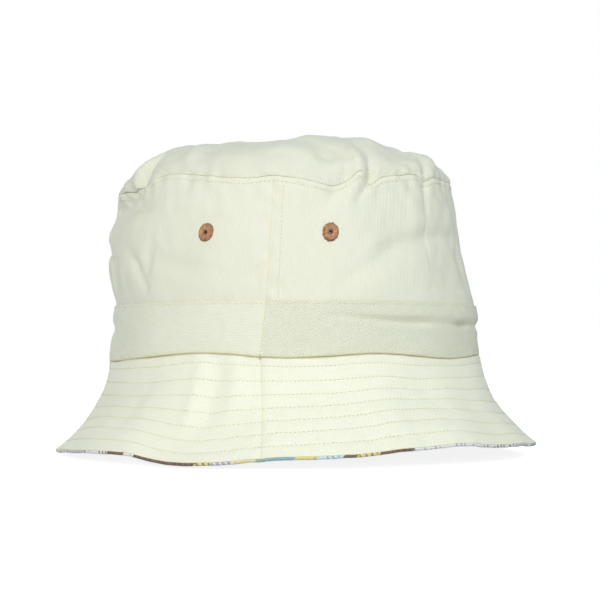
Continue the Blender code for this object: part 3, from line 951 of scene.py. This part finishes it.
def felt(name):
    """Stiff white non-woven: matted fibres with pressed dots."""
    shader = new_material(name)
    fibres = shader.noise(1300, 4, 0.7)
    dots = shader.add("TexVoronoi", {"Vector": shader.cloth(), "Scale": 700}, "Distance")
    colour = shader.ramp(fibres, ((0.3, (0.76, 0.76, 0.73)), (0.7, (0.86, 0.86, 0.84))))
    return shader.finish(colour, shader.times(dots, 0.5, fibres), 0.0001, 0.9)


def satin(name):
    """Blank woven label: fine warp floats, coloured lighter on top and darker between, as painted light and
    shade.
    """
    shader = new_material(name)
    height = shader.times(shader.ribs(0, 0.0006, 0.6, "Y"), 0.4, shader.ribs(0, 0.00022, 0.3))
    # Painted light and shade: the floats are coloured by their height.
    colour = shader.ramp(height, ((0.2, (0.8, 0.8, 0.77)), (1, (0.9, 0.9, 0.88))))
    return shader.finish(colour, height, 0.00004, 0.42, 0.1, 0.5)


CROWN_TWILL = twill("crown_twill", 4, edge_tint_and_shade=SEAM_TINT_AND_SHADE)
# Painted shade: the top's cloth is coloured 5% darker than the side's, for the dimmer light on its upturned
# face.
TIP_TWILL = twill("tip_twill", 40, tone=0.95, slubs=LEVEL)
BAND_TWILLS = {
    "front": twill("band_front_twill", 54, 0.00105, 0.00048, 0.15, 1.05, PALE_TINT_AND_SHADE, FOOT_OF_BAND),
    "back": twill("band_back_twill", 86, 0.0008, 0.0002, 0.08, 1.03, PALE_TINT_AND_SHADE, FOOT_OF_BAND),
}
SWEATBAND_TWILL = twill("sweatband_twill", 45)
# Painted light: the brim's cloth is coloured 11% lighter than the crown's, for the brighter light on its
# slope.
BRIM_TWILL = twill("brim_twill", 20, 0.0009, 0.00017, 0.07, 1.11, PALE_TINT_AND_SHADE, TOP_OF_BRIM, LEVEL)
SEAM_THREAD = thread("seam_thread", (0.82, 0.82, 0.59), (0.7, 0.69, 0.38))
EYELET_THREAD = eyelet_thread("eyelet_thread")
PRINTED_LINING = printed_cotton("printed_lining")
WHITE_FELT = felt("white_interlining")
SATIN = satin("label_satin")


# ---- Crown and lining


LIP_HINGE, LABEL_HINGE = (joint["pos_m"] for joint in frame["joints"])
LIP_BEND = ("brim_lip", (TURN_UP_START, 0, LIP_HINGE[2]), (TURN_UP_END, 0, LIP_HINGE[2]))
LABEL_BEND = ("label", *((LABEL_HINGE[0], 0, LABEL_HINGE[2] + above) for above in (0.0006, -0.0014)))


def wear(piece, nodes, bend=None):
    """Attaches a piece to the hat's body, or bakes its transform into its mesh when it is given a bend, then
    hides the CAD parts that it stands in for.
    """
    if bend:
        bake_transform(piece)
    else:
        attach(piece, "hat")
    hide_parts(*nodes)


def eyelet_places():
    """Each eyelet's name and angle."""
    for side, seam, towards_front in (("right", RIGHT_SEAM, 1), ("left", LEFT_SEAM, -1)):
        yield f"eyelet_front_{side}", seam + towards_front * EYELET_TURN
        yield f"eyelet_back_{side}", seam - towards_front * EYELET_TURN


def crown_sides():
    shares = steps_between(0, TIP_SEAM_HEIGHT - SEAM_HEIGHT, ROW_STEP)
    shares /= shares[-1]
    for half, start in HALVES.items():
        phis = half_phis(start)
        middle = start + math.pi / 2
        holes = [phi for _, phi in eyelet_places() if abs(turned_back(phi - middle)) < math.pi / 2]
        cloth = panel(f"crown_side_{half}_cloth", side_outline, side_push, phis, shares,
                      OUTER, CROWN_TWILL, holes)
        lining_name = f"lining_side_{half}_cloth"
        wear(cloth, ["crown_side_" + half])
        lining = panel(lining_name, side_outline, side_push, thinned(phis), thinned(shares),
                       LINING, PRINTED_LINING)
        wear(lining, ["lining_side_" + half])


def tip_panel(name, layer, material, fineness=1):
    """The oval top, on rings that close up towards its seam."""
    offset, half_thickness = layer
    columns = round(TURN * MEAN_RADIUS / COLUMN_STEP)
    phis = (-math.pi + TURN * np.arange(columns) / columns)[::fineness]
    shares = np.sin(math.pi / 2 * np.linspace(0.02, 0.93, 74 // fineness))
    edge = 1 - edge_rows(2 * half_thickness)[::-1] / TIP_SEAM_HALF_LENGTH * TIP_EDGE_RUN
    shares = np.concatenate([shares, np.linspace(shares[-1], edge[0], 8)[1:-1], edge])
    middle, normal, smooth = surface(tip_outline, tip_push, *np.meshgrid(phis, shares), offset)
    half = rounding(norm(smooth - smooth[-1:]), half_thickness)
    half[0] = half_thickness
    middle = middle + normal * (0.8 * (half_thickness - half))[..., None]
    obj = closed_sheet(name, middle, normal, half, smooth[..., :2], material, wraps=True)
    close_middle(obj)
    span = float(walked(smooth[:, 0])[-1] * 2)
    obj["flat"] = (span * WIDTH_RATIO, span, math.pi / 4 * WIDTH_RATIO * span**2)
    return obj


def close_middle(obj):
    """Fills the two small rings left open at the middle of the top."""
    bm = bmesh.new()
    bm.from_mesh(obj.data)
    open_edges = [edge for edge in bm.edges if edge.is_boundary]
    made = bmesh.ops.holes_fill(bm, edges=open_edges, sides=0)
    bmesh.ops.poke(bm, faces=made["faces"])
    bm.to_mesh(obj.data)
    bm.free()
    obj.data.shade_smooth()


def crown_tip():
    lining = tip_panel("lining_tip_cloth", LINING, PRINTED_LINING, 2)
    cloth = tip_panel("crown_tip_cloth", OUTER, TIP_TWILL)
    wear(cloth, ["crown_tip"])
    wear(lining, ["lining_tip"])


def hat_band():
    rows = steps_between(0, BAND_TOP - SEAM_HEIGHT, BAND_ROW_STEP)
    for half, start in HALVES.items():
        cloth = panel(f"hat_band_{half}_cloth", strip_outline(BAND_TOP), band_push, half_phis(start),
                      rows / rows[-1], BAND, BAND_TWILLS[half], pressed=0)
        wear(cloth, ["hat_band_" + half])


def sweatband():
    """A strip round the inside, whose two ends meet at the back."""
    rows = steps_between(0, SWEATBAND_TOP - SEAM_HEIGHT, INNER_STEP)
    length = TURN * MEAN_RADIUS - SWEATBAND_GAP
    phis = math.pi + steps_between(0, length, INNER_STEP) / MEAN_RADIUS
    band = panel("sweatband_cloth", strip_outline(SWEATBAND_TOP), band_push, phis, rows / rows[-1],
                 SWEATBAND, SWEATBAND_TWILL)
    wear(band, ["sweatband"])


# ---- Brim


def underbrim_path():
    """The printed lining's way in the brim's section: down, round the rim and in under the top."""
    underneath, half = UNDERBRIM
    low, top, tucked = -0.0018, -0.0006, -0.00115
    radius = (top - low) / 2
    centre = BRIM_LENGTH - radius - half
    down = steps_between(0, centre, INNER_STEP, THIN_END_ROUNDING)[:-4]
    sloping = underneath + (low - underneath) * ease(down, RIM_TAPER, RIM_TAPER + 0.0045)
    turn = math.pi * np.linspace(-0.5, 0.5, 11)
    back = np.arange(1, 9) / 8
    dive = top + (tucked - top) * ease(back, 0.2, 0.8)
    distance = np.concatenate([down, centre + radius * np.cos(turn), centre - 0.0026 * back])
    offset = np.concatenate([sloping, low + radius + radius * np.sin(turn), dive])
    return np.stack([distance, offset], -1)


def underbrim_sheet(name, phis):
    """The printed lining of half the brim, folded round the rim."""
    path = underbrim_path()
    distance, offset = path.T
    grid = seam_grid(brim_outline, phis, brim_share(distance))
    middle, normal, smooth = surface(brim_outline, brim_push, *grid, offset[:, None])
    walk = walked(path)[:, None]
    along, ends = along_and_ends(phis)
    half = rounding(np.minimum(np.minimum(walk, walk[-1] - walk), ends), UNDERBRIM[1])
    uvs = np.stack(np.broadcast_arrays(along * 1.18, -walk), -1)
    obj = closed_sheet(name, middle, true_normals(middle), half, uvs, PRINTED_LINING)
    obj["flat"] = flat_size(smooth + normal * offset[:, None, None])
    return obj


def true_normals(points):
    """Normals of a grid of points, pointing out of the hat. Columns go round it and rows go down."""
    normal = np.cross(np.gradient(points, axis=0), np.gradient(points, axis=1))
    return normal / np.maximum(norm(normal), 1e-12)[..., None]


def brim():
    distances = steps_between(0, BRIM_LENGTH - ROLLED_EDGE, BRIM_ROW_STEP)
    short_distances = steps_between(0, RIM_TAPER, 2 * BRIM_ROW_STEP, THIN_END_ROUNDING)
    for half, start in HALVES.items():
        phis = half_phis(start, BRIM_COLUMN_STEP, BRIM_MEAN_RADIUS)
        outer = panel(f"brim_{half}_cloth", brim_outline, brim_push, phis, brim_share(distances),
                      OUTER, BRIM_TWILL)
        under = underbrim_sheet(f"underbrim_{half}_cloth", phis)
        stiff = panel(f"brim_{half}_interlining", brim_outline, brim_push, thinned(phis),
                      brim_share(short_distances), INTERLINING, WHITE_FELT)
        for piece, node, part, slot, held, rests_on in (
            (outer, "brim_outer", "outer", "cream_twill", "stretched", stiff),
            (under, "underbrim", "underbrim", "printed_lining", "folded", stiff),
            (stiff, "brim_interlining", "interlining", "white_interlining", "laid", under),
        ):
            lip = [f"brim_lip_{part}"] if half == "front" else []
            wear(piece, [f"{node}_{half}"] + lip, LIP_BEND if lip else None)


# ---- Stitches


def tubes(name, paths, side, radii, material, sides=6):
    """Short threads in one mesh. Each path lies in the plane that its side vector is square to."""
    tangent = np.gradient(paths, axis=1)
    tangent /= norm(tangent)[..., None]
    side = side / norm(side)[:, None]
    across = np.broadcast_to(side[:, None, :], tangent.shape)[:, :, None, :]
    up = np.cross(tangent, across[:, :, 0])[:, :, None, :]
    around = TURN * np.arange(sides) / sides
    ring = across * np.cos(around)[:, None] + up * np.sin(around)[:, None]
    points = paths[:, :, None, :] + ring * radii[:, None, None]
    index = np.arange(points.size // 3).reshape(points.shape[:3])
    after = np.roll(index, -1, axis=2)
    walls = np.stack([index[:, :-1], after[:, :-1], after[:, 1:], index[:, 1:]], -1).reshape(-1, 4)
    caps = np.concatenate([index[:, 0, ::-1], index[:, -1]])
    walk = walked(paths.swapaxes(0, 1)).T[:, :, None]
    uvs = np.stack(np.broadcast_arrays(walk, around * THREAD_RADIUS), -1).reshape(-1, 2)
    return new_mesh(name, points.reshape(-1, 3), walls.tolist() + caps.tolist(), uvs, material)


STITCH_STATIONS = np.array([-1.0, -0.9, -0.6, -0.2, 0.2, 0.6, 0.9, 1.0])


def stitches(name, nodes, place, seed, start=-math.pi, end=math.pi, bend=None):
    """A row of stitches along a line. Place gives the surface at each value from start to end."""
    values = np.linspace(start, end, 3000)
    walk = walked(place(values)[0])
    count = int(walk[-1] / STITCH_PITCH)
    random = np.random.default_rng(seed)
    middles = (np.arange(count) + 0.5) * walk[-1] / count + random.normal(0, 0.00006, count)
    lengths = STITCH_LENGTH * random.normal(1, 0.06, count)
    spots = middles[:, None] + STITCH_STATIONS * lengths[:, None] / 2
    points, normals, _ = place(np.interp(spots, walk, values))
    arch = THREAD_RADIUS * (0.75 - 2.0 * np.abs(STITCH_STATIONS) ** 4)
    paths = points + normals * arch[:, None]
    side = np.cross(normals[:, 3], paths[:, -1] - paths[:, 0])
    radii = THREAD_RADIUS * np.maximum(1 - np.abs(STITCH_STATIONS) ** 6, 0.25)
    wear(tubes(name, paths, side, radii, SEAM_THREAD), nodes, bend=bend)


def brim_stitches():
    """Seven rows down the brim; two stand for the lip's rows too. All but the first have their transforms
    baked into their meshes, like the lip's pieces, rather than riding on the hat.
    """
    for row in range(ROW_COUNT):
        share = brim_share(FIRST_ROW + row * ROW_SPACING)
        nodes = [f"brim_stitch_row_{row + 1}"]
        if row >= ROW_COUNT - 2:
            nodes.append(f"brim_lip_stitch_row_{row + 1}")
        stitches(f"brim_stitches_{row + 1}", nodes,
                 lambda phi: surface(brim_outline, brim_push, phi, share),
                 60 + row, bend=LIP_BEND if row else None)


def crown_stitches():
    """Rows under the tip seam and along the band's edges, and one beside each side seam."""
    on_band = BAND[0] + BAND[1] - SUNK
    for name, node, push, offset, seed, height_at in (
        ("tip_topstitches", "tip_topstitch", side_push, 0, 71,
         lambda phi: tip_seam_height(phi) - TIP_STITCH_DROP),
        ("band_top_stitches_thread", "band_top_stitches", band_push, on_band, 72,
         lambda phi: BAND_TOP - BAND_STITCH_INSET + 0 * phi),
        ("band_bottom_stitches_thread", "band_bottom_stitches", band_push, on_band, 72,
         lambda phi: brim_seam_height(phi) + BAND_STITCH_INSET),
    ):
        stitches(name, [node], lambda phi: side_surface(phi, height_at(phi), push, offset), seed)
    for side, seam in (("right", RIGHT_SEAM), ("left", LEFT_SEAM)):
        beside = seam + SIDE_STITCH_BESIDE / SEAM_HALF_LENGTH
        stitches(f"side_seam_stitches_{side}", [f"side_seam_topstitch_{side}"],
                 lambda height: side_surface(beside + joint_turn(height), height, side_push, -SUNK),
                 74, SIDE_STITCH_TOP, BAND_TOP + 0.001)


def side_surface(phi, height, push, offset):
    """The surface of the crown's side by height."""
    top = tip_seam_height(phi)
    share = (top - height) / (top - brim_seam_height(phi) - 2 * TUCK)
    return surface(side_outline, push, phi, share, offset)


# ---- Eyelets

# One thread of an eyelet from the hole outwards: distance out, height and radius, all in millimetres.
EYELET_PROFILE = np.array([
    (0.42, -1.6, 0.09), (0.5, -0.6, 0.1), (0.95, 0.3, 0.13), (1.7, 0.92, 0.18),
    (2.6, 1.05, 0.25), (3.5, 0.72, 0.31), (4.1, 0.15, 0.34), (4.25, -0.3, 0.3),
]) * MM


def eyelets():
    """Buttonhole thread over the edge of each hole, stitch beside stitch, round a slightly tilted oval."""
    reach_out, rise, widths = EYELET_PROFILE.T
    count = THREADS_PER_EYELET
    for k, (name, phi) in enumerate(eyelet_places()):
        random = np.random.default_rng(80 + k)
        (centre,), (out,), _ = side_surface(np.array([phi]), EYELET_HEIGHT, side_push, 0)
        level = np.cross((0, 0, 1), out)
        level /= norm(level)
        upright = np.cross(out, level)
        angles = TURN * (np.arange(count) + random.uniform(-0.2, 0.2, count)) / count
        radial = np.cos(angles)[:, None] * level + np.sin(angles)[:, None] * upright
        oval = 0.96 + 0.09 * np.cos(2 * (angles - math.radians(62)))
        side = np.cross(out, radial)
        reach = oval * (1 + random.normal(0, 0.022, count))
        heights = 1 + random.normal(0, 0.12, count)
        lean = 0.22 * (reach_out - reach_out[0])
        paths = centre + radial[:, None, :] * (reach_out * reach[:, None])[..., None]
        paths = paths + out * (rise * heights[:, None])[..., None] + side[:, None, :] * lean[:, None]
        wear(tubes(name + "_thread", paths, side, widths, EYELET_THREAD, 8), [name])


# ---- Care label


def care_label():
    """A blank satin label, stitched to the sweatband at its top and curling a little at its foot."""
    low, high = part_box("care_label")
    width, length = high.y - low.y, high.z - low.z
    hem = 0.0016
    y, down = np.meshgrid(np.linspace(-width / 2, width / 2, 25), np.linspace(0, length + hem, 34))
    held = ease(-down, -0.004, -0.0012)
    curl = 0.0007 * (down / length) ** 2 + 0.0004 * np.sin(y / width * 4 + 1) * down / length
    x = (low.x + high.x) / 2 + curl - 0.0016 * held
    middle = np.stack([x, y, high.z + hem - down], -1)
    half = np.zeros(x.shape)
    half[1:-1, 1:-1] = LABEL_HALF_THICKNESS
    uvs = np.stack([y, -down], -1)
    label = closed_sheet("care_label_satin", middle, -true_normals(middle), half, uvs, SATIN)
    label["flat"] = (width, length + hem, width * length)
    wear(label, ["care_label"], LABEL_BEND)


# ---- Floor, camera and light


def stage():
    """A plain white floor."""
    reach = 6
    corners = [(-reach, -reach, 0), (reach, -reach, 0), (reach, reach, 0), (-reach, reach, 0)]
    mesh = bpy.data.meshes.new("studio_floor")
    mesh.from_pydata(corners, [], [(0, 1, 2, 3)])
    shader = new_material("studio_floor")
    lit = shader.add("BsdfDiffuse", {"Color": (0.66, 0.68, 0.68)})
    glow = shader.add("Emission", {"Color": PLAIN, "Strength": 0.87})
    seen = shader.add("AddShader", {0: lit, 1: glow})
    shader.lit_or_seen(lit, seen, "Material Output")
    mesh.materials.append(shader.owner)
    floor = linked("studio_floor", mesh)
    floor.location.z = -0.0002


CAMERA_TURN = math.radians(8.5)
CAMERA_PITCH = math.radians(2.27)
CAMERA_PLACE = (0.0027, 0.75, 0.0524)


def in_view(aside, away, height):
    """A point by its distance to the camera's right, its distance towards the camera, and its height."""
    return Matrix.Rotation(CAMERA_TURN, 3, "Z") @ Vector((aside, -away, height))


def camera():
    data = bpy.data.cameras.new("camera")
    data.sensor_width = 36
    data.lens = 83.3
    eye = linked("camera", data)
    eye.location = in_view(*CAMERA_PLACE)
    eye.rotation_euler = (math.pi / 2 + CAMERA_PITCH, 0, CAMERA_TURN)
    SCENE.camera = eye


def softbox(name, place, size, watts, colour):
    data = bpy.data.lights.new(name, "AREA")
    data.size = size
    data.energy = watts
    data.color = colour
    lamp = linked(name, data)
    lamp.location = in_view(*place)
    aim = Vector((0, 0, 0.08)) - lamp.location
    lamp.rotation_euler = aim.to_track_quat("-Z", "Y").to_euler()


def lights():
    """A warm softbox behind the camera, a cool one high on its right, one behind the hat, and a cool world."""
    softbox("key_light", (-0.26, 1.54, 0.42), 0.7, 14.6, (1, 0.97, 0.93))
    softbox("side_light", (1, 0.55, 1.25), 0.7, 5, (0.92, 0.98, 1.06))
    softbox("back_light", (-0.45, -1.5, 0.36), 0.9, 8, (1, 0.98, 0.95))
    world = Shader(bpy.data.worlds.new("studio"))
    ambient = world.add("Background", {"Color": (0.92, 1, 1.02), "Strength": 0.43})
    backdrop = world.add("Background", {"Color": PLAIN, "Strength": 1.0})
    world.lit_or_seen(ambient, backdrop, "World Output")
    SCENE.world = world.owner
    SCENE.view_settings.view_transform = "Standard"


# ---- The hat


crown_sides()
crown_tip()
hat_band()
sweatband()
brim()
brim_stitches()
crown_stitches()
eyelets()
care_label()
stage()
camera()
lights()
